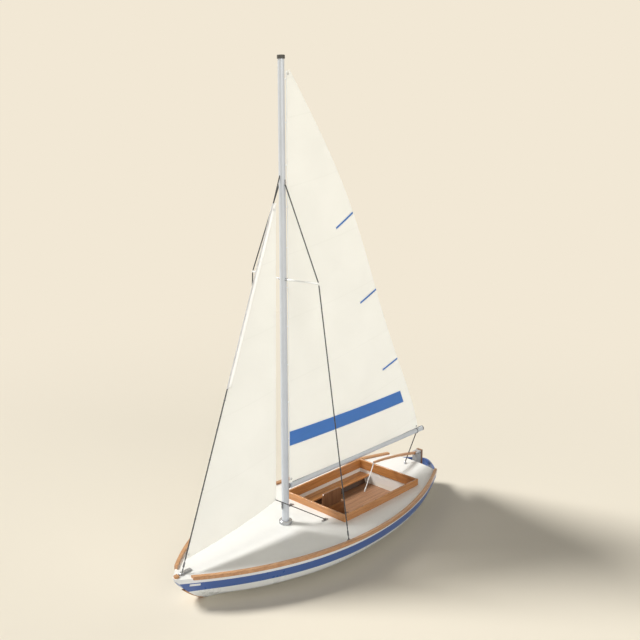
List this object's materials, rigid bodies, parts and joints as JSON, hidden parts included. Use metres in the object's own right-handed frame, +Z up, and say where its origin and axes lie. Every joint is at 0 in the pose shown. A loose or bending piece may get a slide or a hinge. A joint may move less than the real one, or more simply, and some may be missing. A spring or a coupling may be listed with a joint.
{
  "type": "sailboat",
  "caption": "Open daysailer with a round-bilged decked hull, wooden rails and cockpit coaming, a mast with mainsail and jib, a swinging boom and a tiller-steered rudder.",
  "frame": {"origin": "on the centreline at mid-length, in the plane of the waterline", "axes": "+X to the bow, +Y to port, +Z up along the mast"},
  "size_m": [5.5399, 2.272, 7.504],
  "materials": {
    "hull_white": "gloss gelcoat, warm white",
    "stripe_blue": "gloss blue paint",
    "deck_white": "satin gelcoat, warm white",
    "varnished_wood": "varnished, satin",
    "dark_wood": "varnished, dark",
    "bench_wood": "varnished, satin",
    "spar_alloy": "satin anodised",
    "cap_grey": "matte",
    "fitting_steel": "satin",
    "wire_steel": "laid wire, dark",
    "white_plastic": "satin",
    "sailcloth": "woven, matte",
    "sail_blue": "woven, matte",
    "head_grey": "satin",
    "keel_wood": "varnished"
  },
  "bodies": {
    "hull": {"hull_lower": "hull_white", "hull_stripe": "stripe_blue", "stern_wall": "stripe_blue", "hull_deck": "deck_white", "keel_plank": "keel_wood", "stem_cap": "varnished_wood", "rail_port": "varnished_wood", "rail_starboard": "varnished_wood", "coaming_port": "varnished_wood", "coaming_starboard": "varnished_wood", "coaming_fore": "varnished_wood", "coaming_aft": "varnished_wood", "bench_port": "bench_wood", "bench_starboard": "bench_wood", "cockpit_sole": "bench_wood", "board_trunk": "bench_wood", "mast_collar": "fitting_steel", "mast": "spar_alloy", "mast_cap": "cap_grey", "mast_cleat": "fitting_steel", "spreader_port": "white_plastic", "spreader_starboard": "white_plastic", "shroud_port": "wire_steel", "shroud_starboard": "wire_steel", "forestay": "wire_steel", "bow_fitting": "fitting_steel", "chainplate_port": "fitting_steel", "chainplate_starboard": "fitting_steel", "gooseneck_bracket": "fitting_steel", "jib": "sailcloth", "jib_fairlead_port": "fitting_steel", "jib_fairlead_starboard": "fitting_steel", "mainsheet_eye": "fitting_steel", "rudder_gland": "fitting_steel"},
    "board": {"daggerboard": "dark_wood"},
    "boom": {"gooseneck_tang": "fitting_steel", "boom": "spar_alloy", "boom_end_cap": "cap_grey", "mainsail": "sailcloth", "mainsail_band": "sail_blue", "mainsail_battens": "sail_blue"},
    "rudder": {"rudder_stock": "fitting_steel", "rudder_head": "head_grey", "rudder_board": "varnished_wood", "rudder_blade": "varnished_wood", "tiller": "varnished_wood", "tiller_extension": "white_plastic"}
  },
  "joints": [
    {"name": "boom_swing", "type": "hinge", "parent": "hull", "child": "boom", "pos_m": [0.615, 0, 1.07], "axis": [0, 0, 1], "range_deg": [-75, 75]},
    {"name": "rudder_turn", "type": "hinge", "parent": "hull", "child": "rudder", "pos_m": [-2.49, 0, 0.36], "axis": [0, 0, 1], "range_deg": [-24, 24]},
    {"name": "board_slide", "type": "slide", "parent": "hull", "child": "board", "axis": [0, 0, 1], "range_m": [-0.21, 0.25]}
  ]
}
